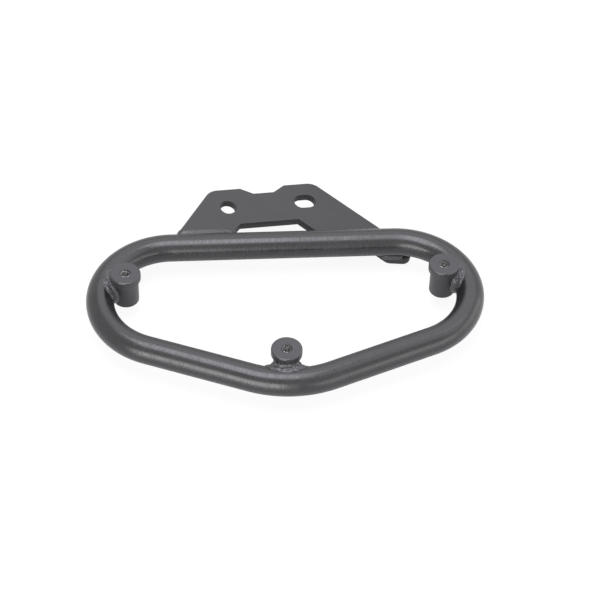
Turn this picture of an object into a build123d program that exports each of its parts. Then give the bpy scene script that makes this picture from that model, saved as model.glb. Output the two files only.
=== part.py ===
import os
from math import asin, atan2, cos, degrees, hypot, radians, sin, sqrt, tan

from build123d import *

# Pannier frame: a closed loop of bent round tube that carries a bag at the side of a motorbike.
# A laser-cut plate bolts it to the bike and the bag is screwed to three flanged bosses.
# Millimetres, +Z towards the bag along the boss axes, +Y towards the plate,
# +X along the back run of the loop. The origin ends up where the axis of the front boss
# crosses the middle plane of the loop.

# Tube loop
tube_od = 18.0           # outside of the round tube
tube_wall = 2.0          # wall of the tube
loop_width = 257.5       # outside to outside along the back run
loop_depth = 138.5       # outside of the back run to outside of the front bend
shoulder_bend_r = 46.5   # centre line of the two large shoulder bends
front_bend_r = 70.0      # centre line of the shallow front bend

# Flanged bosses, all three alike
boss_flange_d = 19.8
boss_flange_t = 5.2
boss_body_d = 16.6
boss_stand = 14.9        # bag face above the middle of the tube
boss_offset = 15.0       # boss axis inwards from the centre line of the tube
boss_thread_d = 6.0      # M6, the wall is at the outside of the thread
boss_mouth_d = 7.4       # countersink at the thread mouth
boss_edge = 0.5          # broken edges of the turned boss
shoulder_boss_angle = 19.0   # shoulder bosses, turned from the X axis towards the back run
front_boss_angle = 3.3       # front boss, turned from the front vertex towards the left

# Mounting plate
plate_t = 6.0
plate_roll = 7.4         # right side of the plate leans down
plate_pitch = 6.6        # far side of the plate leans up
plate_yaw = 10.5         # hole row turned against the back run
plate_hole_d = 10.5      # round hole for an M10 bolt
plate_slot_w = 10.5      # obround hole beside it
plate_slot_l = 14.5
plate_slot_pitch = 53.2  # round hole to the middle of the slot
plate_hole_x = -34.1     # round hole from the middle of the back run
plate_hole_y = 30.0      # round hole behind the centre line of the back run
plate_cross_x = 62.3     # where the plate's face slips under the back run
plate_head = 15.2        # hole row to the far edge
plate_shoulder_l = 9.6   # round hole to the left corner of the far edge, along the row
plate_shoulder_r = 9.1   # slot to the right corner of the far edge
plate_side_angle = 49.6  # slant of the two sides and of the arm
plate_corner_r = 10.0
plate_notch_depth = 5.1  # shallow notch in the far edge
plate_notch_floor = 14.0
plate_notch_mouth = 30.4
plate_edge = 0.4         # broken edges of the plate
window_far = 14.9        # hole row to the far edge of the window
window_left = 1.0        # left side of the window, from the hole along the row
window_chamfer = 4.4     # slanted far left corner of the window
window_right = 45.4      # far right corner of the window, from the hole along the row
arm_end = 58.2           # hole row to the right corner of the arm under the tube
arm_end_short = 4.4      # left corner of the arm's end, short of the right one
arm_width = 17.2         # arm across its own length
arm_end_r = 6.0          # rounded tip of the arm
arm_inner_r = 6.5        # rounded inner corner of the arm
foot_bite = 1.2          # left foot set into the back of the tube and coped to it
arm_foot_bite = 3.4      # right foot, next to the arm

# Weld beads
boss_weld_leg = 4.4      # width of the weld along the boss and along the tube
boss_lap = 6.0           # weld metal laps onto the tube this far around the boss
boss_lap_t = 0.6         # thickness of that lap
boss_lap_low = 3.0       # lower end of that lap above the middle of the tube
boss_weld_low = 6.6      # lower end of that weld below the middle of the tube
foot_weld_r = 5.0        # flat bead along the left foot of the plate
foot_weld_in = 2.2       # middle of the bead inside the left side of the plate
foot_weld_short = 6.2    # middle of the bead short of the window
foot_weld_out = 1.6      # middle of the bead behind the groove
foot_weld_sink = 4.1     # middle of the bead below the groove
foot_weld_deep = 2.6     # bead reaches down this far beside the plate
arm_weld_r = 2.2         # bead between the arm and the underside of the tube
arm_weld_l = 8.0         # length of that bead
arm_weld_start = 7.4     # start of that bead to the right of the crossing
arm_weld_in = 3.2        # bead middle in front of the centre line of the back run

# Derived sizes
tube_r = tube_od / 2
bore_r = tube_r - tube_wall
half_w = (loop_width - tube_od) / 2
run_d = loop_depth - tube_od
body_r = boss_body_d / 2
boss_height = boss_stand + tube_r    # the foot of each boss is level with the underside of the tube

shoulder_c = Vector(half_w - shoulder_bend_r, -shoulder_bend_r)
front_c = Vector(0, front_bend_r - run_d)
span_v = shoulder_c - front_c
span = hypot(span_v.X, span_v.Y)
run_angle = degrees(atan2(span_v.Y, span_v.X) + asin((front_bend_r - shoulder_bend_r) / span))
side_n = Vector(sin(radians(run_angle)), -cos(radians(run_angle)))    # outwards from the right front run


def run_between(a, b, r):
    """Straight round bar of radius r from a to b."""
    return extrude(Plane(origin=a, z_dir=b - a) * Circle(r), (b - a).length)


def bend(centre, bend_r, start, turn, r):
    """Bent round bar of radius r about a vertical axis, from the angle start through turn degrees."""
    out = Vector(cos(radians(start)), sin(radians(start)))
    section = Plane(origin=centre + out * bend_r, x_dir=out, z_dir=Vector(-out.Y, out.X)) * Circle(r)
    return revolve(section, Axis(centre, (0, 0, 1)), turn)


def flip(v):
    """Mirror a point or direction to the left half of the loop."""
    return Vector(-v.X, v.Y, v.Z)


def loop(r):
    """The whole loop as a solid bar of radius r."""
    left_c = flip(shoulder_c)
    corner = Vector(shoulder_c.X, 0)
    low = shoulder_c + side_n * shoulder_bend_r
    tip = front_c + side_n * front_bend_r
    sweep_s = 180 - run_angle
    bar = run_between(flip(corner), corner, r)
    bar += bend(shoulder_c, shoulder_bend_r, run_angle - 90, sweep_s, r)
    bar += run_between(tip, low, r)
    bar += bend(front_c, front_bend_r, -90 - run_angle, 2 * run_angle, r)
    bar += run_between(flip(low), flip(tip), r)
    bar += bend(left_c, shoulder_bend_r, 90, sweep_s, r)
    return bar


outer = loop(tube_r)
frame_tube = outer - loop(bore_r)

# Bosses: a turned flange and body, tapped right through, with a saddle milled for the tube
boss_spots = {
    "right": (shoulder_c, shoulder_bend_r, shoulder_boss_angle),
    "left": (flip(shoulder_c), shoulder_bend_r, 180 - shoulder_boss_angle),
    "front": (front_c, front_bend_r, -90 - front_boss_angle),
}


def boss_axis(centre, bend_r, angle):
    """Foot of the boss axis in the plane of the loop."""
    return centre + Vector(cos(radians(angle)), sin(radians(angle))) * (bend_r - boss_offset)


up = Align.CENTER, Align.CENTER, Align.MIN


def boss_blank():
    """One turned boss before it is tapped, standing in the plane of the loop."""
    body = Pos(0, 0, -tube_r) * Cylinder(body_r, boss_height, align=up)
    disc = Pos(0, 0, boss_stand - boss_flange_t) * Cylinder(boss_flange_d / 2, boss_flange_t, align=up)
    disc = chamfer(disc.edges().filter_by(GeomType.CIRCLE), boss_edge)
    body = chamfer(body.edges().filter_by(GeomType.CIRCLE).sort_by(Axis.Z)[0], boss_edge)
    return body + disc


def tapped_boss():
    """The boss with its thread hole, before its saddle is milled."""
    boss = boss_blank() - Pos(0, 0, -tube_r) * Cylinder(boss_thread_d / 2, boss_height, align=up)
    sink = (boss_mouth_d - boss_thread_d) / 2
    boss -= Pos(0, 0, boss_stand - sink) * Cone(boss_thread_d / 2, boss_mouth_d / 2, sink, align=up)
    return boss


def weld_at_boss(centre, bend_r, angle):
    """Fillet weld along the line where a boss meets the tube, under its flange."""
    reach = degrees(boss_flange_d / bend_r)
    bar = bend(Vector(), bend_r, -reach, 2 * reach, tube_r)
    post = Pos(bend_r - boss_offset, 0) * Rot(0, 0, 180) * Cylinder(body_r, 3 * boss_height)
    joint = bar + post
    seam = [e for e in joint.edges() if e.geom_type not in (GeomType.LINE, GeomType.CIRCLE)]
    under = boss_weld_low + boss_stand - boss_flange_t
    room = Pos(bend_r, 0, -boss_weld_low) * Box(loop_width, loop_width, under, align=up)
    skin = bend(Vector(), bend_r, -reach, 2 * reach, tube_r + boss_lap_t)
    lap = Pos(bend_r - boss_offset, 0, boss_lap_low) * Cylinder(body_r + boss_lap, boss_stand, align=up) & skin
    bead = (chamfer(seam, boss_weld_leg) + lap - bar - post) & room
    return Pos(centre) * Rot(0, 0, angle) * bead


bosses = {}
boss_welds = {}
for side, spot in boss_spots.items():
    bosses[side] = Pos(boss_axis(*spot)) * tapped_boss() - outer
    boss_welds[side] = weld_at_boss(*spot)

# Plate: its top face leans, so it meets the back of the tube on the left and slips under it on the right
lean_x = Vector(cos(radians(plate_roll)), 0, -sin(radians(plate_roll)))
lean_y = Vector(0, cos(radians(plate_pitch)), sin(radians(plate_pitch)))
normal = lean_x.cross(lean_y).normalized()
across = normal.cross(lean_x)
row_dir = lean_x * cos(radians(plate_yaw)) + across * sin(radians(plate_yaw))
slope_x, slope_y = -normal.X / normal.Z, -normal.Y / normal.Z
plate_hole_z = -tube_r - slope_x * (plate_cross_x - plate_hole_x) + slope_y * plate_hole_y
hole_at = Vector(plate_hole_x, plate_hole_y, plate_hole_z)
top_face = Plane(origin=hole_at, x_dir=row_dir, z_dir=normal)
far_dir = top_face.y_dir


def plate_face_z(x, y):
    """Height of the plate's top face over a point of the loop's plane."""
    return plate_hole_z + slope_x * (x - plate_hole_x) + slope_y * (y - plate_hole_y)


def at_depth(u, y):
    """Point of the top face on the line u along the hole row whose loop coordinate Y is y."""
    return (u, (y - hole_at.Y - u * row_dir.Y) / far_dir.Y)


def world(p):
    """Point of the top face in the loop's coordinates."""
    return hole_at + row_dir * p[0] + far_dir * p[1]


slant = tan(radians(plate_side_angle))
mid = plate_slot_pitch / 2
notch_a, notch_b = plate_notch_mouth / 2, plate_notch_floor / 2
right_top = plate_slot_pitch + plate_shoulder_r
arm_tip = right_top + (plate_head + arm_end) / slant
arm_inner = arm_tip - arm_width / sin(radians(plate_side_angle)) - arm_end_short / slant
arm_inner_v = arm_end_short - arm_end


def slanted(u0, v0, sign, y):
    """Where the slanted side through (u0, v0) reaches the loop coordinate Y of y."""
    # u = u0 + sign * (v0 - v) / slant
    v = (y - hole_at.Y - (u0 + sign * v0 / slant) * row_dir.Y) / (far_dir.Y - sign * row_dir.Y / slant)
    return (u0 + sign * (v0 - v) / slant, v)


foot_y = tube_r - foot_bite
foot_left = slanted(-plate_shoulder_l, plate_head, -1, foot_y)
foot_right = at_depth(window_left, foot_y)
arm_foot_left = slanted(window_right, -window_far, 1, tube_r - foot_bite / 2)
arm_foot_right = slanted(arm_inner, arm_inner_v, 1, tube_r - arm_foot_bite)

corners = [
    foot_left,
    (-plate_shoulder_l, plate_head),
    (mid - notch_a, plate_head),
    (mid - notch_b, plate_head - plate_notch_depth),
    (mid + notch_b, plate_head - plate_notch_depth),
    (mid + notch_a, plate_head),
    (right_top, plate_head),
    (arm_tip, -arm_end),
    (arm_inner, arm_inner_v),
    arm_foot_right,
    arm_foot_left,
    (window_right, -window_far),
    (window_left + window_chamfer, -window_far),
    (window_left, -window_far - window_chamfer),
    foot_right,
]
sheet = make_face(Polyline(*corners, close=True))


def round_off(face, point, r):
    """Round the corner of the sheet that lies at the point."""
    return fillet(face.vertices().sort_by_distance(Vector(*point))[0], r)


sheet = round_off(sheet, (-plate_shoulder_l, plate_head), plate_corner_r)
sheet = round_off(sheet, (right_top, plate_head), plate_corner_r)
sheet = round_off(sheet, (arm_tip, -arm_end), arm_end_r)
sheet = round_off(sheet, (arm_inner, arm_inner_v), arm_inner_r)
sheet -= Circle(plate_hole_d / 2)
sheet -= Pos(plate_slot_pitch, 0) * SlotOverall(plate_slot_l, plate_slot_w)
blank = extrude(sheet, -plate_t)
blank = chamfer(blank.edges().group_by(Axis.Z)[-1] + blank.edges().group_by(Axis.Z)[0], plate_edge)
mounting_plate = top_face * blank - outer

# Bead along the left foot, in the groove between the plate's face and the top of the tube


def bead(a, b, r):
    """Round-ended bead of radius r from a to b."""
    return run_between(a, b, r) + Pos(a) * Sphere(r) + Pos(b) * Sphere(r)


def groove(x):
    """Point on the back run where the plate's face meets the tube."""
    lean = atan2(slope_y, 1)
    rise = plate_face_z(x, 0) * cos(lean) / tube_r
    a = lean + asin(max(-1, min(1, rise)))
    return Vector(x, tube_r * cos(a), tube_r * sin(a))


foot_weld_x_l = world(foot_left).X + foot_weld_in
foot_weld_x_r = world(foot_right).X - foot_weld_short
foot_weld_shift = Vector(0, foot_weld_out, -foot_weld_sink)
foot_weld_from = groove(foot_weld_x_l) + foot_weld_shift
foot_weld_to = groove(foot_weld_x_r) + foot_weld_shift
foot_weld = bead(foot_weld_from, foot_weld_to, foot_weld_r) - outer - mounting_plate
foot_weld &= top_face * Pos(0, 0, -foot_weld_deep) * Box(loop_width, loop_width, plate_t, align=up)

# Bead between the arm and the front of the tube's underside
arm_weld_x = plate_cross_x + arm_weld_start
arm_weld_from = Vector(arm_weld_x, -arm_weld_in, plate_face_z(arm_weld_x, -arm_weld_in))
arm_weld_x2 = arm_weld_x + arm_weld_l
arm_weld_to = Vector(arm_weld_x2, -arm_weld_in, plate_face_z(arm_weld_x2, -arm_weld_in))
arm_weld = bead(arm_weld_from, arm_weld_to, arm_weld_r) - outer - mounting_plate

# Into the shared frame: origin on the axis of the front boss, in the middle plane of the loop
front_axis = boss_axis(*boss_spots["front"])
home = Pos(-front_axis.X, -front_axis.Y, 0)
nodes = {
    "frame_tube": frame_tube,
    "mounting_plate": mounting_plate,
    "left_boss": bosses["left"],
    "right_boss": bosses["right"],
    "front_boss": bosses["front"],
    "left_boss_weld": boss_welds["left"],
    "right_boss_weld": boss_welds["right"],
    "front_boss_weld": boss_welds["front"],
    "plate_foot_weld": foot_weld,
    "plate_arm_weld": arm_weld,
}
os.makedirs("parts", exist_ok=True)
for name, shape in nodes.items():
    solids = shape.solids()
    print(name, "solids", len(solids), "volume mm3", [round(s.volume, 1) for s in solids])
    export_step(home * shape, f"parts/{name}.step")
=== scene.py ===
# %% [markdown]
# # A pannier frame in satin black
# The object is a side carrier for a motorbike: a loop of bent tube, a slanted sheet plate and
# three turned bosses, all welded together and powder coated. The solids come ready from a packed
# CAD model. This lesson dresses them: camera, coat, tube, plate, bosses, weld beads, threads,
# floor and light. Everything is in metres, in the same frame as the solids, so nothing has to be
# moved into place.

# %% Load the solids
import math

import bmesh
import bpy
from mathutils import Matrix, Vector


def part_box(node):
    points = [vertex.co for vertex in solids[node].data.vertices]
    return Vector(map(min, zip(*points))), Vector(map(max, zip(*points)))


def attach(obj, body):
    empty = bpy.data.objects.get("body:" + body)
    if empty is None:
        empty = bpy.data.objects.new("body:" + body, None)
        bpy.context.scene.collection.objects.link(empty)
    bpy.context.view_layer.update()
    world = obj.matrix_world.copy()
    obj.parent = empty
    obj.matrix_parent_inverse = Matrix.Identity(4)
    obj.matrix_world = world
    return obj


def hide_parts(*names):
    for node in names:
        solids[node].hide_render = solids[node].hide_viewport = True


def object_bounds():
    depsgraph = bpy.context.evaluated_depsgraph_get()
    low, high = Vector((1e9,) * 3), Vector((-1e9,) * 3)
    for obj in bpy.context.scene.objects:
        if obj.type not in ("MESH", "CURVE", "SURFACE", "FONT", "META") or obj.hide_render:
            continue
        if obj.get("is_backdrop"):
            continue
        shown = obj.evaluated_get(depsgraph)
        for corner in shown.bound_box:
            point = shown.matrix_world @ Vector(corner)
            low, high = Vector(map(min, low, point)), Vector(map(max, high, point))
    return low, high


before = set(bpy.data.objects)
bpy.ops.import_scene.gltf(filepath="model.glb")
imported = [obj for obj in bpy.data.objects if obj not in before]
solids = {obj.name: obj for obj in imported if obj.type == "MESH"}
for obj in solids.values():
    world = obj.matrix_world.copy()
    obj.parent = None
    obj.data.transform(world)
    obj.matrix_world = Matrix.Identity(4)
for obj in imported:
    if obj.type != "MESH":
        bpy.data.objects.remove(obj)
cad_low, cad_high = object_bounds()
scene = bpy.context.scene
MM = 0.001
print("solids:", ", ".join(sorted(solids)))
print("size in mm:", [round((b - a) / MM, 1) for a, b in zip(cad_low, cad_high)])

# %% [markdown]
# ## The camera
# The viewpoint was worked out from the straight and round edges of the real frame: it looks down
# at about 47 degrees from a little left of the front, through a long lens, and leans two degrees.
# A camera matrix can be built from three directions: right, up and back towards the viewer.

# %% Camera
LOOK_AT = Vector((12.075, 54.863, 0.0)) * MM
ELEVATION, AZIMUTH, LEAN = math.radians(46.6458), math.radians(-5.0517), math.radians(1.9604)
DISTANCE = 1355.5 * MM
LENS_MM = 126.0

back = Vector((
    math.sin(AZIMUTH) * math.cos(ELEVATION),
    -math.cos(AZIMUTH) * math.cos(ELEVATION),
    math.sin(ELEVATION),
))
level = (-back).cross(Vector((0, 0, 1))).normalized()
upright = level.cross(-back)
right = level * math.cos(LEAN) + upright * math.sin(LEAN)
up = upright * math.cos(LEAN) - level * math.sin(LEAN)

camera = bpy.data.objects.new("camera", bpy.data.cameras.new("camera"))
scene.collection.objects.link(camera)
turned = Matrix((right, up, back)).transposed().to_4x4()
camera.matrix_world = Matrix.Translation(LOOK_AT + back * DISTANCE) @ turned
camera.data.lens = LENS_MM
camera.data.sensor_width = 36.0
camera.data.clip_end = 50.0
scene.camera = camera
scene.view_settings.view_transform = "Standard"
print("camera at", [round(v, 3) for v in camera.location])

# %% [markdown]
# ## Small helpers for node trees
# Shader trees and geometry trees are both made of nodes and links. Three short helpers keep the
# recipes below readable: one makes a node and sets or links its inputs, one does a sum, and one
# turns a value into a colour between two shades.

# %% Node helpers


def add(tree, kind, inputs=None, **settings):
    """Make a node, set its properties, then set or link its inputs by name or number."""
    node = tree.nodes.new(kind)
    for name, value in settings.items():
        setattr(node, name, value)
    for name, value in (inputs or {}).items():
        if isinstance(value, bpy.types.NodeSocket):
            tree.links.new(value, node.inputs[name])
        else:
            node.inputs[name].default_value = value
    return node


def calc(tree, operation, a, b=0.0, c=0.0):
    """A Math node on values or sockets; returns its output."""
    return add(tree, "ShaderNodeMath", {0: a, 1: b, 2: c}, operation=operation).outputs[0]


def shade_ramp(tree, value, stops, shades):
    """A colour that goes from one shade to another between two stops."""
    ramp = add(tree, "ShaderNodeValToRGB", {"Fac": value})
    for stop, position, shade in zip(ramp.color_ramp.elements, stops, shades):
        stop.position, stop.color = position, (*shade, 1.0)
    return ramp.outputs["Color"]


# %% [markdown]
# ## The powder coat
# Powder is sprayed on dry and melted in an oven, so it flows into a soft skin: a fine grain, a
# slow orange-peel wave and slightly uneven gloss. Every coated piece has it, so it is one shader
# group with a value for each effect. It puts out a tint, a change of gloss and a height; the
# shader that uses them stays in each material.

# %% Coat group
CLOUDS_PER_METRE = 42.0


def coat_group():
    """Fine grain, orange peel and cloudy tint of baked powder."""
    group = bpy.data.node_groups.new("powder coat", "ShaderNodeTree")
    group.interface.new_socket("Vector", in_out="INPUT", socket_type="NodeSocketVector")
    for name in ("Grain Size", "Peel Size", "Peel Share"):
        group.interface.new_socket(name, in_out="INPUT", socket_type="NodeSocketFloat")
    for name in ("Tint", "Gloss Change", "Height"):
        group.interface.new_socket(name, in_out="OUTPUT", socket_type="NodeSocketFloat")
    given = add(group, "NodeGroupInput").outputs
    sink = add(group, "NodeGroupOutput").inputs
    spot = given["Vector"]
    grain = add(group, "ShaderNodeTexNoise", {
        "Vector": spot, "Scale": calc(group, "DIVIDE", 1.0, given["Grain Size"]),
        "Detail": 2.0, "Roughness": 0.6}).outputs["Fac"]
    peel = add(group, "ShaderNodeTexNoise", {
        "Vector": spot, "Scale": calc(group, "DIVIDE", 1.0, given["Peel Size"]),
        "Detail": 1.0}).outputs["Fac"]
    cloud = add(group, "ShaderNodeTexNoise", {
        "Vector": spot, "Scale": CLOUDS_PER_METRE,
        "Detail": 3.0, "Roughness": 0.55}).outputs["Fac"]
    tint = calc(group, "MULTIPLY_ADD", cloud, 0.55, calc(group, "MULTIPLY", grain, 0.45))
    group.links.new(tint, sink["Tint"])
    gloss = calc(group, "MULTIPLY_ADD", cloud, 0.6, calc(group, "MULTIPLY_ADD", grain, 0.4, -0.5))
    group.links.new(gloss, sink["Gloss Change"])
    group.links.new(calc(group, "MULTIPLY_ADD", peel, given["Peel Share"], grain), sink["Height"])
    return group


powder = coat_group()
print("group:", powder.name, "with", len(powder.nodes), "nodes")

# %% [markdown]
# ## Coat materials
# Tube, plate and bosses share the coat but not what lies under it: sheet is flat and a little
# cloudy, a turned boss is tighter, and a weld bead is rough and catches light. The tube was
# brushed round before coating. Those rings follow its bends, so its material reads two values that
# the tube piece carries on its points: the way along the tube and the turn around it. A boss
# carries one such value too. It marks the upper rim of the flange, where handling rubs the coat
# smooth.

# %% Coat materials
DEEP, PALE = (0.012, 0.0117, 0.013), (0.022, 0.0215, 0.0238)
RING_WIDTH, RING_WAVER = 1.2 * MM, 1.5
COAT_SHINE = 0.62
GLOSS_SWING = 0.3
RELIEF_DEPTH = 0.1 * MM


def ring_noise(tree):
    """Brushed rings round the tube, from the piece's own along and around values."""
    along = add(tree, "ShaderNodeAttribute", attribute_name="along").outputs["Fac"]
    around = add(tree, "ShaderNodeAttribute", attribute_name="around").outputs["Fac"]
    angle = calc(tree, "MULTIPLY", around, math.tau)
    spot = add(tree, "ShaderNodeCombineXYZ", {
        "X": calc(tree, "MULTIPLY", calc(tree, "COSINE", angle), RING_WAVER),
        "Y": calc(tree, "MULTIPLY", calc(tree, "SINE", angle), RING_WAVER),
        "Z": calc(tree, "DIVIDE", along, RING_WIDTH)})
    rings = add(tree, "ShaderNodeTexNoise", {
        "Vector": spot.outputs[0], "Scale": 1.0, "Detail": 2.0})
    return calc(tree, "SUBTRACT", rings.outputs["Fac"], 0.5)


def coat(name, grain_mm, peel_mm, peel_share, roughness, bump,
         tone=1.0, rings=0.0, rim_polish=0.0, mottle=(0.32, 0.72)):
    """A satin black material that uses the powder group with its own values."""
    material = bpy.data.materials.new(name)
    material.use_nodes = True
    tree = material.node_tree
    shader = tree.nodes["Principled BSDF"]
    shader.inputs["Specular IOR Level"].default_value = COAT_SHINE
    place = add(tree, "ShaderNodeTexCoord")
    skin = add(tree, "ShaderNodeGroup", node_tree=powder)
    tree.links.new(place.outputs["Object"], skin.inputs["Vector"])
    skin.inputs["Grain Size"].default_value = grain_mm * MM
    skin.inputs["Peel Size"].default_value = peel_mm * MM
    skin.inputs["Peel Share"].default_value = peel_share
    height = skin.outputs["Height"]
    gloss = calc(tree, "MULTIPLY_ADD", skin.outputs["Gloss Change"], GLOSS_SWING, roughness)
    if rings:
        brushed = ring_noise(tree)
        gloss = calc(tree, "MULTIPLY_ADD", brushed, rings, gloss)
        height = calc(tree, "MULTIPLY_ADD", brushed, rings, height)
    if rim_polish:
        rim = add(tree, "ShaderNodeAttribute", attribute_name="rim").outputs["Fac"]
        gloss = calc(tree, "MULTIPLY_ADD", rim, -rim_polish, gloss)
    # tone lightens both shades; on the bosses and the beads this lighter colour is painted light
    shades = [[tone * part for part in shade] for shade in (DEEP, PALE)]
    tint = shade_ramp(tree, skin.outputs["Tint"], mottle, shades)
    tree.links.new(tint, shader.inputs["Base Color"])
    tree.links.new(gloss, shader.inputs["Roughness"])
    relief = add(tree, "ShaderNodeBump", {
        "Strength": bump, "Distance": RELIEF_DEPTH, "Height": height})
    tree.links.new(relief.outputs["Normal"], shader.inputs["Normal"])
    return material


tube_coat = coat("tube coat", grain_mm=0.8, peel_mm=3.2, peel_share=1.0,
                 roughness=0.27, bump=0.14, rings=0.42)
plate_coat = coat("plate coat", grain_mm=0.7, peel_mm=2.4, peel_share=0.8,
                  roughness=0.52, bump=0.45, tone=1.02, mottle=(0.43, 0.59))
# tone 2.05 is painted light: the same coat is made twice as light on the bosses, to stand in for
# the light they catch
boss_coat = coat("boss coat", grain_mm=0.6, peel_mm=2.0, peel_share=0.6,
                 roughness=0.44, bump=0.3, tone=2.05, rim_polish=0.33)
# tone 3.2 is painted light: a lighter colour stands in for the light that the beads' rough skin
# catches
weld_coat = coat("weld coat", grain_mm=0.6, peel_mm=1.4, peel_share=1.2,
                 roughness=0.24, bump=0.4, tone=3.2)
print("coats:", [m.name for m in (tube_coat, plate_coat, boss_coat, weld_coat)])

# %% [markdown]
# ## Geometry Nodes helpers
# A Geometry Nodes tree is a small recipe with named inputs. One helper makes an empty recipe, one
# ends it with real geometry that has its material, and one runs it on a mesh and keeps what comes
# out as a plain mesh, so that the finished piece carries no modifier. Inputs are set through each
# socket's identifier before the first evaluation.

# %% Recipe helpers


def new_recipe(name, **inputs):
    """An empty geometry tree with named inputs; gives tree, inputs and result socket."""
    tree = bpy.data.node_groups.new(name, "GeometryNodeTree")
    tree.interface.new_socket("Geometry", in_out="INPUT", socket_type="NodeSocketGeometry")
    for label, kind in inputs.items():
        tree.interface.new_socket(
            label.replace("_", " "), in_out="INPUT", socket_type="NodeSocket" + kind)
    tree.interface.new_socket("Geometry", in_out="OUTPUT", socket_type="NodeSocketGeometry")
    given = add(tree, "NodeGroupInput").outputs
    return tree, given, add(tree, "NodeGroupOutput").inputs["Geometry"]


def close_recipe(tree, geometry, material, result):
    """End a tree with Realize Instances and Set Material, as the export needs it."""
    real = add(tree, "GeometryNodeRealizeInstances", {"Geometry": geometry})
    dressed = add(tree, "GeometryNodeSetMaterial", {
        "Geometry": real.outputs[0], "Material": material})
    tree.links.new(dressed.outputs[0], result)


def applied(piece):
    """The mesh of a piece as its modifiers make it."""
    graph = bpy.context.evaluated_depsgraph_get()
    return bpy.data.meshes.new_from_object(piece.evaluated_get(graph))


def grow(name, start, tree, **values):
    """Run a tree on a mesh and return the result as a plain piece at the origin."""
    piece = bpy.data.objects.new(name, start)
    scene.collection.objects.link(piece)
    recipe = piece.modifiers.new("recipe", "NODES")
    recipe.node_group = tree
    labels = {label.replace("_", " "): value for label, value in values.items()}
    for socket in tree.interface.items_tree:
        if socket.in_out == "INPUT" and socket.name in labels:
            recipe[socket.identifier] = labels[socket.name]
    grown = applied(piece)
    piece.modifiers.clear()
    piece.data = grown
    grown.name = name
    return piece


def hand_in(piece, slot, *nodes):
    """Let a piece ride on the frame and stand for its solids, which it hides; the slot is not used.
    """
    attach(piece, "root")
    if nodes:
        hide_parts(*nodes)
    print(piece.name, "has", len(piece.data.polygons), "faces")


# %% [markdown]
# ## The bent tube
# The real loop is one tube, bent three times and closed by a weld. Its centre line is a triangle
# with rounded corners, so three corner points and a bend radius for each say all there is to know.
# A tree fillets the corners, spaces points along the line and sweeps a circle along it. It also
# stores the way along and the turn around on every point, for the brushed rings.

# %% Corner points of the loop
TUBE_R = 9.0 * MM
SHOULDER_R, FRONT_R = 46.5 * MM, 70.0 * MM

tube_low, tube_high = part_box("frame_tube")
loop_middle = (tube_low.x + tube_high.x) / 2
back_line = tube_high.y - TUBE_R
half_width = (tube_high.x - tube_low.x) / 2 - TUBE_R
depth = tube_high.y - tube_low.y - 2 * TUBE_R
shoulder = Vector((half_width - SHOULDER_R, -SHOULDER_R))
front = Vector((0.0, FRONT_R - depth))
span = shoulder - front
slant = math.atan2(span.y, span.x) + math.asin((FRONT_R - SHOULDER_R) / span.length)
run_start = shoulder + Vector((math.sin(slant), -math.cos(slant))) * SHOULDER_R
side_corner = run_start.x - run_start.y / math.tan(slant)
front_corner = run_start.y - run_start.x * math.tan(slant)

corners = bpy.data.meshes.new("loop corners")
corners.from_pydata([
    (loop_middle + side_corner, back_line, 0.0),
    (loop_middle - side_corner, back_line, 0.0),
    (loop_middle, back_line + front_corner, 0.0),
], [(0, 1), (1, 2), (2, 0)], [])
bends = corners.attributes.new("bend_radius", "FLOAT", "POINT")
for point, radius in zip(bends.data, (SHOULDER_R, SHOULDER_R, FRONT_R)):
    point.value = radius
print("front runs slant", round(math.degrees(slant), 1), "degrees")

# %% Tube recipe


def tube_recipe():
    """Fillet the corners, space the points, sweep a circle."""
    tree, given, result = new_recipe(
        "bent tube", Radius="Float", Spacing="Float", Sides="Int", Coat="Material")
    radius = add(
        tree, "GeometryNodeInputNamedAttribute", {"Name": "bend_radius"}, data_type="FLOAT")
    line = add(tree, "GeometryNodeMeshToCurve", {"Mesh": given["Geometry"]})
    rounded = add(tree, "GeometryNodeFilletCurve", {
        "Curve": line.outputs[0], "Count": 64, "Radius": radius.outputs["Attribute"]}, mode="POLY")
    spaced = add(tree, "GeometryNodeResampleCurve", {
        "Curve": rounded.outputs[0], "Length": given["Spacing"]}, mode="LENGTH")
    flat = add(tree, "GeometryNodeSetCurveNormal", {"Curve": spaced.outputs[0]}, mode="Z_UP")
    way = add(tree, "GeometryNodeSplineParameter")
    path = add(tree, "GeometryNodeStoreNamedAttribute", {
        "Geometry": flat.outputs[0], "Name": "along", "Value": way.outputs["Length"]})
    circle = add(tree, "GeometryNodeCurvePrimitiveCircle", {
        "Resolution": given["Sides"], "Radius": given["Radius"]})
    section = add(tree, "GeometryNodeStoreNamedAttribute", {
        "Geometry": circle.outputs[0], "Name": "around", "Value": way.outputs["Factor"]})
    swept = add(tree, "GeometryNodeCurveToMesh", {
        "Curve": path.outputs[0], "Profile Curve": section.outputs[0]})
    smooth = add(tree, "GeometryNodeSetShadeSmooth", {"Geometry": swept.outputs[0]})
    close_recipe(tree, smooth.outputs[0], given["Coat"], result)
    return tree


tube = grow("bent_tube", corners, tube_recipe(),
            Radius=TUBE_R, Spacing=1.2 * MM, Sides=64, Coat=tube_coat)
hand_in(tube, "tube_coat", "frame_tube")

# %% [markdown]
# ## The plate
# The real plate is laser-cut sheet, and the solid already gives its outline exactly. What a solid
# lacks is the way a coated edge shines: powder pulls into a small round there, and a round edge
# always finds a lamp. A bevel would cut new faces. A lighter way is used here: a copy gets its
# loose triangles joined, its corners below 50 degrees shaded smooth, and normals weighted by area,
# so that big faces stay flat and the broken edges between them turn softly.

# %% Softened plate
SOFT_CORNER = math.radians(50)
MERGE = 0.002 * MM


def joined_copy(node):
    """The mesh of a solid with its loose triangles merged."""
    mesh = solids[node].data.copy()
    shape = bmesh.new()
    shape.from_mesh(mesh)
    bmesh.ops.remove_doubles(shape, verts=shape.verts, dist=MERGE)
    for edge in shape.edges:
        edge.smooth = edge.is_manifold and edge.calc_face_angle(0.0) < SOFT_CORNER
    for face in shape.faces:
        face.smooth = True
    shape.to_mesh(mesh)
    shape.free()
    return mesh


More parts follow.
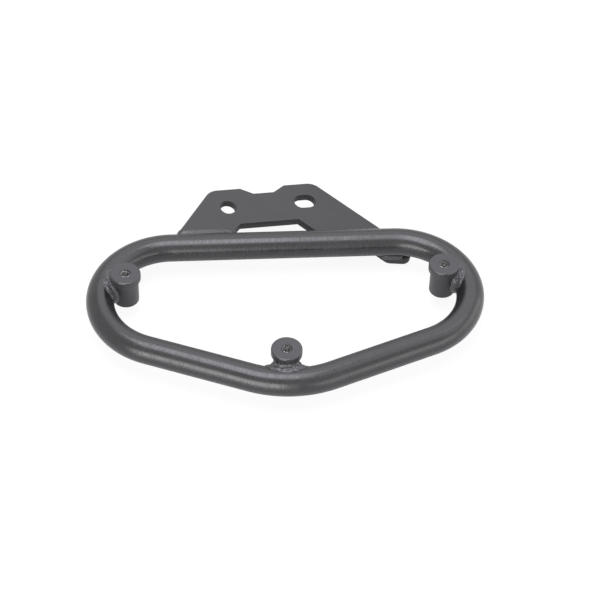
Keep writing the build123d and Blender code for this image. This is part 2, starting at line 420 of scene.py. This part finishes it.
plate = bpy.data.objects.new("leaning_plate", joined_copy("mounting_plate"))
scene.collection.objects.link(plate)
weigh = plate.modifiers.new("weigh", "WEIGHTED_NORMAL")
weigh.keep_sharp = True
softened = applied(plate)
plate.modifiers.clear()
plate.data = softened
softened.materials.clear()
softened.materials.append(plate_coat)
hand_in(plate, "plate_coat", "mounting_plate")

# %% [markdown]
# ## The bosses
# A boss is turned on a lathe, so half of its section says everything: a hole with a countersunk
# mouth, a body and a flange. The powder rounds the two rims of the flange, and the upper one
# catches the light, so its points are marked with a rim value. The section is drawn as a line of
# points, with a helper point close to each round so that the flat faces stay flat, and a tree
# sweeps it round a circle.

# %% Section of a boss


def quarter(middle_x, middle_y, radius, start, steps=6):
    """Points of a quarter circle, from a start angle in degrees."""
    angles = [math.radians(start + 90.0 * step / steps) for step in range(steps + 1)]
    return [(middle_x + radius * math.cos(a), middle_y + radius * math.sin(a)) for a in angles]


boss_low, boss_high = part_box("front_boss")
FLANGE_R = (boss_high.x - boss_low.x) / 2
FLANGE_HEIGHT = 5.2 * MM
FOOT, TOP = boss_low.z, boss_high.z
UNDER = TOP - FLANGE_HEIGHT
BODY_R, HOLE_R, MOUTH_R, FOOT_EDGE = 8.3 * MM, 3.0 * MM, 3.7 * MM, 0.5 * MM
RIM, LIP, NEAR = 0.9 * MM, 0.5 * MM, 0.15 * MM
outline = [
    (HOLE_R, FOOT), (BODY_R - FOOT_EDGE, FOOT), (BODY_R, FOOT + FOOT_EDGE), (BODY_R, UNDER),
    (FLANGE_R - LIP - NEAR, UNDER), *quarter(FLANGE_R - LIP, UNDER + LIP, LIP, -90.0),
    (FLANGE_R, UNDER + LIP + NEAR), (FLANGE_R, TOP - RIM - NEAR),
    *quarter(FLANGE_R - RIM, TOP - RIM, RIM, 0.0), (FLANGE_R - RIM - NEAR, TOP),
    (MOUTH_R, TOP), (HOLE_R, TOP - MOUTH_R + HOLE_R),
]
TURNING_R = 6.0 * MM
print("section of a boss:", len(outline), "points")

# %% Turned bosses


def turned_recipe():
    """Sweep a section round an upright axis."""
    tree, given, result = new_recipe(
        "turned boss", Axis="Vector", Turning_Radius="Float", Sides="Int", Sharp="Float",
        Coat="Material")
    section = add(tree, "GeometryNodeMeshToCurve", {"Mesh": given["Geometry"]})
    circle = add(tree, "GeometryNodeCurvePrimitiveCircle", {
        "Resolution": given["Sides"], "Radius": given["Turning Radius"]})
    level_line = add(tree, "GeometryNodeSetCurveNormal", {"Curve": circle.outputs[0]}, mode="Z_UP")
    swept = add(tree, "GeometryNodeCurveToMesh", {
        "Curve": level_line.outputs[0], "Profile Curve": section.outputs[0]})
    moved = add(tree, "GeometryNodeTransform", {
        "Geometry": swept.outputs[0], "Translation": given["Axis"]})
    smooth = add(tree, "GeometryNodeSetShadeSmooth", {"Geometry": moved.outputs[0]})
    angle = add(tree, "GeometryNodeInputMeshEdgeAngle").outputs["Unsigned Angle"]
    crisp = add(tree, "GeometryNodeSetShadeSmooth", {
        "Geometry": smooth.outputs[0], "Shade Smooth": False,
        "Selection": calc(tree, "GREATER_THAN", angle, given["Sharp"])}, domain="EDGE")
    close_recipe(tree, crisp.outputs[0], given["Coat"], result)
    return tree


boss_axes = {}
turning = turned_recipe()
for side in ("left", "right", "front"):
    low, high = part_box(f"{side}_boss")
    boss_axes[side] = Vector(((low.x + high.x) / 2, (low.y + high.y) / 2, 0.0))
    section = bpy.data.meshes.new("section")
    section.from_pydata([(x - TURNING_R, -y, 0.0) for x, y in reversed(outline)],
                        [(n, (n + 1) % len(outline)) for n in range(len(outline))], [])
    rim = section.attributes.new("rim", "FLOAT", "POINT")
    for point, (x, y) in zip(rim.data, reversed(outline)):
        point.value = float(min(x - FLANGE_R, y - TOP) > NEAR - RIM)
    piece = grow(f"flanged_boss_{side}", section, turning,
                 Axis=boss_axes[side], Turning_Radius=TURNING_R,
                 Sides=96, Sharp=math.radians(40), Coat=boss_coat)
    hand_in(piece, "boss_coat", f"{side}_boss")

# %% [markdown]
# ## Weld beads
# A hand weld is a row of frozen puddles: lumpy, with strands drawn along the bead and a thin rim
# where it wets the tube. It could be sculpted, but five beads would then be five jobs. The solid
# gives the body of each bead, so a copy of it is swollen a little and cut into an even fine grid,
# and one tree does the rest. It relaxes the grid, which rounds the corners. It draws the rim down
# onto the tube, the more the further a point lies from an axis. Last it pushes the skin out and in
# by two noises: lumps are the same in all directions, strands change quickly with the distance
# from the axis and slowly around it. Low between a boss and the tube the real weld is a smooth
# hollow, so there the push fades out. At the straight beads that distance is measured across the
# bead only, and a bend radius of ten metres stands for a straight tube.

# %% Bead recipe
HOLLOW_PUSH = 0.15
STRAND_DRAW = (0.25, 0.25, 0.25)


def bead_recipe():
    """Relax a bead, roughen it with lumps and strands, let its rim wet the tube."""
    tree, given, result = new_recipe(
        "weld bead", Axis="Vector", Across="Vector", Lump_Size="Float", Lump_Height="Float",
        Strand_Width="Float", Strand_Height="Float", Relax="Int", Seed="Float",
        Bend_Centre="Vector", Bend_Radius="Float", Tube_Radius="Float", Wet_From="Float",
        Wet_To="Float", Smooth_Below="Float", Rough_Above="Float", Coat="Material")

    def vector(operation, a, b=(0.0, 0.0, 0.0), c=(0.0, 0.0, 0.0)):
        node = add(tree, "ShaderNodeVectorMath", {0: a, 1: b, 2: c}, operation=operation)
        return node.outputs["Value" if operation == "LENGTH" else "Vector"]

    def scaled(a, factor):
        node = add(tree, "ShaderNodeVectorMath", {0: a, "Scale": factor}, operation="SCALE")
        return node.outputs["Vector"]

    place = add(tree, "GeometryNodeInputPosition").outputs[0]
    calm = add(tree, "GeometryNodeBlurAttribute", {
        "Value": place, "Iterations": given["Relax"]}, data_type="FLOAT_VECTOR")
    relaxed = add(tree, "GeometryNodeSetPosition", {
        "Geometry": given["Geometry"], "Position": calm.outputs[0]})

    arm = vector("SUBTRACT", place, given["Axis"])
    reach = vector("LENGTH", vector("MULTIPLY", arm, given["Across"]))
    flat = vector("MULTIPLY", vector("SUBTRACT", place, given["Bend Centre"]), (1.0, 1.0, 0.0))
    outward = scaled(vector("NORMALIZE", flat), given["Bend Radius"])
    middle = vector("ADD", given["Bend Centre"], outward)
    spoke = vector("SUBTRACT", place, middle)
    length = vector("LENGTH", spoke)
    height = calc(tree, "MAXIMUM", calc(tree, "SUBTRACT", length, given["Tube Radius"]), 0.0)
    wet = add(tree, "ShaderNodeMapRange", {
        "Value": reach, "From Min": given["Wet From"], "From Max": given["Wet To"], "To Max": -1.0},
        interpolation_type="SMOOTHSTEP").outputs[0]
    sink = calc(tree, "MULTIPLY", wet, calc(tree, "DIVIDE", height, length))
    wetted = add(tree, "GeometryNodeSetPosition", {
        "Geometry": relaxed.outputs[0], "Offset": scaled(spoke, sink)})

    drawn = add(tree, "ShaderNodeCombineXYZ", {"X": reach}).outputs[0]
    lumps = add(tree, "ShaderNodeTexNoise", {
        "Vector": place, "W": given["Seed"], "Scale": calc(tree, "DIVIDE", 1.0, given["Lump Size"]),
        "Detail": 2.0, "Roughness": 0.55}, noise_dimensions="4D").outputs["Fac"]
    strands = add(tree, "ShaderNodeTexNoise", {
        "Vector": vector("MULTIPLY_ADD", arm, STRAND_DRAW, drawn), "W": given["Seed"],
        "Scale": calc(tree, "DIVIDE", 1.0, given["Strand Width"]), "Detail": 1.0},
        noise_dimensions="4D").outputs["Fac"]
    push = calc(tree, "MULTIPLY", calc(tree, "SUBTRACT", lumps, 0.5), given["Lump Height"])
    ripple = calc(tree, "SUBTRACT", strands, 0.5)
    push = calc(tree, "MULTIPLY_ADD", ripple, given["Strand Height"], push)
    share = add(tree, "ShaderNodeMapRange", {
        "Value": add(tree, "ShaderNodeSeparateXYZ", {0: place}).outputs["Z"],
        "From Min": given["Smooth Below"], "From Max": given["Rough Above"],
        "To Min": HOLLOW_PUSH}).outputs[0]
    skin = add(tree, "GeometryNodeInputNormal").outputs[0]
    rough = add(tree, "GeometryNodeSetPosition", {
        "Geometry": wetted.outputs[0],
        "Offset": scaled(skin, calc(tree, "MULTIPLY", push, share))})
    smooth = add(tree, "GeometryNodeSetShadeSmooth", {"Geometry": rough.outputs[0]})
    close_recipe(tree, smooth.outputs[0], given["Coat"], result)
    return tree


def even_grid(node, swell, step=0.3 * MM):
    """The mesh of a solid, swollen and cut anew into small even faces."""
    start = joined_copy(node)
    outward = [normal.vector.copy() for normal in start.vertex_normals]
    for vertex, normal in zip(start.vertices, outward):
        vertex.co += normal * swell
    holder = bpy.data.objects.new("grid", start)
    scene.collection.objects.link(holder)
    cut = holder.modifiers.new("cut", "REMESH")
    cut.mode, cut.voxel_size = "VOXEL", step
    mesh = applied(holder)
    bpy.data.objects.remove(holder)
    return mesh


# %% Beads at the bosses
bead = bead_recipe()
bend_centres = {
    "left": Vector((loop_middle - shoulder.x, back_line + shoulder.y, 0.0)),
    "right": Vector((loop_middle + shoulder.x, back_line + shoulder.y, 0.0)),
    "front": Vector((loop_middle, back_line + front.y, 0.0)),
}
bend_radii = {"left": SHOULDER_R, "right": SHOULDER_R, "front": FRONT_R}
# In mm: swelling, start and end of the wet rim
WETTING = {"left": (0.5, 11.0, 14.8), "right": (0.5, 11.0, 14.8), "front": (1.1, 10.2, 15.2)}
# In mm: size of the lumps, their height, height of the strands
LUMPS = {"left": (1.3, 1.1, 1.3), "right": (1.3, 1.1, 1.3), "front": (1.9, 1.9, 0.6)}
BOSS_SEED, PLATE_SEED = 3, 7
for seed, side in enumerate(boss_axes, BOSS_SEED):
    swell, wet_from, wet_to = (value * MM for value in WETTING[side])
    lump, lump_height, strand_height = (value * MM for value in LUMPS[side])
    piece = grow(
        f"bead_{side}_boss", even_grid(f"{side}_boss_weld", swell), bead,
        Axis=boss_axes[side], Across=(1.0, 1.0, 0.0), Relax=6, Seed=float(seed),
        Lump_Size=lump, Lump_Height=lump_height,
        Strand_Width=1.1 * MM, Strand_Height=strand_height,
        Bend_Centre=bend_centres[side], Bend_Radius=bend_radii[side], Tube_Radius=TUBE_R,
        Wet_From=wet_from, Wet_To=wet_to,
        Smooth_Below=1.0 * MM, Rough_Above=5.0 * MM, Coat=weld_coat)
    hand_in(piece, "weld_coat", f"{side}_boss_weld")

# %% Beads at the plate
FAR = 10.0
PLATE_BEADS = (("bead_foot", "plate_foot_weld", 0.4 * MM), ("bead_arm", "plate_arm_weld", 0.9 * MM))
for seed, (name, node, swell) in enumerate(PLATE_BEADS, PLATE_SEED):
    low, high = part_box(node)
    piece = grow(
        name, even_grid(node, swell), bead,
        Axis=high, Across=(0.0, 1.0, 0.0), Relax=8, Seed=float(seed),
        Lump_Size=1.6 * MM, Lump_Height=0.3 * MM,
        Strand_Width=1.4 * MM, Strand_Height=0.35 * MM,
        Bend_Centre=Vector((low.x, back_line - FAR, 0.0)), Bend_Radius=FAR, Tube_Radius=TUBE_R,
        Wet_From=2.5 * MM, Wet_To=7.5 * MM,
        Smooth_Below=-2 * FAR, Rough_Above=-FAR, Coat=weld_coat)
    hand_in(piece, "weld_coat", node)

# %% [markdown]
# ## Threads
# The bosses are tapped after coating, so bare steel shows in their holes. A thread is a ridge that
# climbs round an axis. A screw modifier could make one from a single edge. A tree with a spiral
# and a wedge-shaped section is used instead, because it sets the same ridge on all three axes at
# once.

# %% Thread material
CHATTER_PER_METRE = 1500.0
DULL, BRIGHT = (0.035, 0.035, 0.034), (0.55, 0.55, 0.53)

steel = bpy.data.materials.new("cut steel")
steel.use_nodes = True
tree = steel.node_tree
shader = tree.nodes["Principled BSDF"]
shader.inputs["Metallic"].default_value = 1.0
place = add(tree, "ShaderNodeTexCoord").outputs["Object"]
chatter = add(tree, "ShaderNodeTexNoise", {
    "Vector": place, "Scale": CHATTER_PER_METRE, "Detail": 3.0}).outputs["Fac"]
tint = shade_ramp(tree, chatter, (0.4, 0.7), (DULL, BRIGHT))
tree.links.new(tint, shader.inputs["Base Color"])
tree.links.new(calc(tree, "MULTIPLY_ADD", chatter, 0.4, 0.2), shader.inputs["Roughness"])
print("material:", steel.name)

# %% Threads
WEDGE_TURN = -math.pi / 2
WEDGE_TIP, WEDGE_FOOT = 0.15, 0.86
THREAD_LOW, THREAD_LENGTH = -8.4 * MM, 22.7 * MM


def thread_recipe():
    """A spiral ridge set on every point of the mesh."""
    tree, given, result = new_recipe(
        "tapped thread", Length="Float", Pitch="Float", Crest="Float", Root="Float",
        Steel="Material")
    middle = calc(tree, "MULTIPLY", calc(tree, "ADD", given["Crest"], given["Root"]), 0.5)
    spiral = add(tree, "GeometryNodeCurveSpiral", {
        "Resolution": 36, "Rotations": calc(tree, "DIVIDE", given["Length"], given["Pitch"]),
        "Start Radius": middle, "End Radius": middle, "Height": given["Length"]})
    level_line = add(tree, "GeometryNodeSetCurveNormal", {"Curve": spiral.outputs[0]}, mode="Z_UP")
    wedge = add(tree, "GeometryNodeCurvePrimitiveQuadrilateral", {
        "Height": calc(tree, "SUBTRACT", given["Root"], given["Crest"]),
        "Bottom Width": calc(tree, "MULTIPLY", given["Pitch"], WEDGE_TIP),
        "Top Width": calc(tree, "MULTIPLY", given["Pitch"], WEDGE_FOOT), "Offset": 0.0},
        mode="TRAPEZOID")
    turned_wedge = add(tree, "GeometryNodeTransform", {
        "Geometry": wedge.outputs[0], "Rotation": (0.0, 0.0, WEDGE_TURN)})
    ridge = add(tree, "GeometryNodeCurveToMesh", {
        "Curve": level_line.outputs[0], "Profile Curve": turned_wedge.outputs[0],
        "Fill Caps": True})
    spots = add(tree, "GeometryNodeInstanceOnPoints", {
        "Points": given["Geometry"], "Instance": ridge.outputs[0]})
    close_recipe(tree, spots.outputs[0], given["Steel"], result)
    return tree


feet = bpy.data.meshes.new("thread feet")
feet.from_pydata([(axis.x, axis.y, THREAD_LOW) for axis in boss_axes.values()], [], [])
threads = grow("tapped_threads", feet, thread_recipe(), Length=THREAD_LENGTH, Pitch=1.0 * MM,
               Crest=2.5 * MM, Root=3.04 * MM, Steel=steel)
hand_in(threads, None)

# %% [markdown]
# ## The floor
# The frame lies above white paper. More light would wash out the black, so the white comes from
# the paper itself: to the camera it glows at nearly 1 and keeps a faint shadow. To mirror rays it
# glows less and shows more shadow, because the dark inner walls of the loop are dark from what
# they mirror. Looked at flatly it has the sheen of coated paper, and so the lower streak on the
# tube runs out softly below. For light that bounces it is a plain grey floor. From below it is
# clear, to let the underside be seen.

# %% Floor
FLOOR_DROP, FLOOR_HALF = 0.2 * MM, 6.0
# Each pair: seen by the camera, seen in a mirror
PAPER_SHADE, PAPER_GLOW = (0.12, 0.6), (0.91, 0.42)
PAPER_BOUNCE = (0.6, 0.6, 0.6, 1.0)
SHEEN_ROUGHNESS, SHEEN_IOR = 0.25, 1.45


def seen_directly(tree):
    """1 for camera, glossy and transmission rays, which show the white surroundings."""
    ray = add(tree, "ShaderNodeLightPath").outputs
    seen = calc(tree, "MAXIMUM", ray["Is Camera Ray"], ray["Is Glossy Ray"])
    return calc(tree, "MAXIMUM", seen, ray["Is Transmission Ray"])


def paper_material():
    """White paper that keeps a soft shadow and is clear from below."""
    material = bpy.data.materials.new("paper floor")
    material.use_nodes = True
    tree = material.node_tree
    tree.nodes.remove(tree.nodes["Principled BSDF"])
    output = tree.nodes["Material Output"]
    fibre = add(tree, "ShaderNodeTexNoise", {"Scale": 300.0, "Detail": 2.0})
    mirrored = add(tree, "ShaderNodeLightPath").outputs["Is Glossy Ray"]
    share = add(tree, "ShaderNodeMapRange", {
        "Value": mirrored, "To Min": PAPER_SHADE[0], "To Max": PAPER_SHADE[1]})
    tone = calc(tree, "MULTIPLY_ADD", fibre.outputs["Fac"], 0.02, share.outputs[0])
    shade = add(tree, "ShaderNodeBsdfDiffuse", {"Color": tone})
    level = add(tree, "ShaderNodeMapRange", {
        "Value": mirrored, "To Min": PAPER_GLOW[0], "To Max": PAPER_GLOW[1]})
    glow = add(tree, "ShaderNodeEmission", {"Strength": level.outputs[0]})
    matt = add(tree, "ShaderNodeAddShader", {0: shade.outputs[0], 1: glow.outputs[0]})
    sheen = add(tree, "ShaderNodeBsdfGlossy", {"Roughness": SHEEN_ROUGHNESS})
    flatly = add(tree, "ShaderNodeFresnel", {"IOR": SHEEN_IOR}).outputs[0]
    grazing = calc(tree, "MULTIPLY", mirrored, flatly)
    shown = add(tree, "ShaderNodeMixShader", {0: grazing, 1: matt.outputs[0], 2: sheen.outputs[0]})
    bounce = add(tree, "ShaderNodeBsdfDiffuse", {"Color": PAPER_BOUNCE})
    mix = add(tree, "ShaderNodeMixShader", {
        0: seen_directly(tree), 1: bounce.outputs[0], 2: shown.outputs[0]})
    below = add(tree, "ShaderNodeNewGeometry").outputs["Backfacing"]
    clear = add(tree, "ShaderNodeBsdfTransparent")
    paper = add(tree, "ShaderNodeMixShader", {0: below, 1: mix.outputs[0], 2: clear.outputs[0]})
    tree.links.new(paper.outputs[0], output.inputs["Surface"])
    return material


sheet = bpy.data.meshes.new("floor")
half, drop = FLOOR_HALF, cad_low.z - FLOOR_DROP
paper_corners = ((-half, -half), (half, -half), (half, half), (-half, half))
sheet.from_pydata([(x, y, drop) for x, y in paper_corners], [], [(0, 1, 2, 3)])
floor = bpy.data.objects.new("floor", sheet)
scene.collection.objects.link(floor)
sheet.materials.append(paper_material())
floor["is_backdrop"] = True
print("floor at", round(drop / MM, 2), "mm")

# %% [markdown]
# ## Light
# The tube shows two bright streaks along its length. Following the mirror rule back from each
# streak gives the place of its lamp: a softbox overhead, a little to the left, and a wide panel
# low at the front left. That panel ends almost straight ahead, because the lower streak fades out
# along the back run, and its right end is lifted a little. Weaker panels at the right make the
# soft streaks of the right run and of the right bend. A faint one behind shows in the flat tops of
# the plate and the bosses.

# %% Lights


def softbox(name, direction, distance, size, watts, tint=(1.0, 1.0, 1.0), roll=0.0):
    """A rectangular lamp that looks at the middle of the frame; roll lifts its right end."""
    lamp = bpy.data.lights.new(name, "AREA")
    lamp.shape = "RECTANGLE"
    lamp.size, lamp.size_y = size
    lamp.energy = watts
    lamp.color = tint
    holder = bpy.data.objects.new(name, lamp)
    scene.collection.objects.link(holder)
    away = Vector(direction).normalized()
    overhead = away.z > 0.9
    side = Vector((0, 1, 0) if overhead else (0, 0, 1)).cross(away).normalized()
    side = side * math.cos(roll) + away.cross(side) * math.sin(roll)
    holder.matrix_world = Matrix.Translation(LOOK_AT + away * distance) @ Matrix(
        (side, away.cross(side), away)).transposed().to_4x4()
    holder.visible_camera = False
    return holder


COOL = (0.93, 0.91, 1.0)
ROOM_BOUNCE, ROOM_WHITE = 0.2, 1.0
softbox("overhead softbox", (-0.14, 0.0, 0.98), 1.3, (0.8, 0.88), 11.2, COOL)
softbox("front left panel", (-0.44, -0.88, 0.19), 1.5, (1.26, 0.85), 15.8, roll=math.radians(10))
softbox("right panel", (0.7, -0.7, 0.2), 1.5, (1.4, 0.6), 4.8)
softbox("right side panel", (1.0, 0.1, 0.25), 1.5, (1.2, 0.7), 3.2)
softbox("right top panel", (0.6, 0.0, 0.8), 1.4, (0.9, 0.9), 2.8, COOL)
softbox("back panel", (0.2, 0.56, 0.79), 1.4, (1.7, 1.0), 5.4, COOL)

room = bpy.data.worlds.new("white room")
room.use_nodes = True
scene.world = room
tree = room.node_tree
fill = add(tree, "ShaderNodeMapRange", {
    "Value": seen_directly(tree), "To Min": ROOM_BOUNCE, "To Max": ROOM_WHITE})
tree.links.new(fill.outputs[0], tree.nodes["Background"].inputs["Strength"])
tree.nodes["Background"].inputs["Color"].default_value = (1.0, 1.0, 1.0, 1.0)

# %% [markdown]
# ## Sizes
# The size of the dressed model is printed, to set beside the size of the solids printed at the
# start.

# %% Sizes
low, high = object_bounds()
print("visual size in mm:", [round((b - a) / MM, 1) for a, b in zip(low, high)])
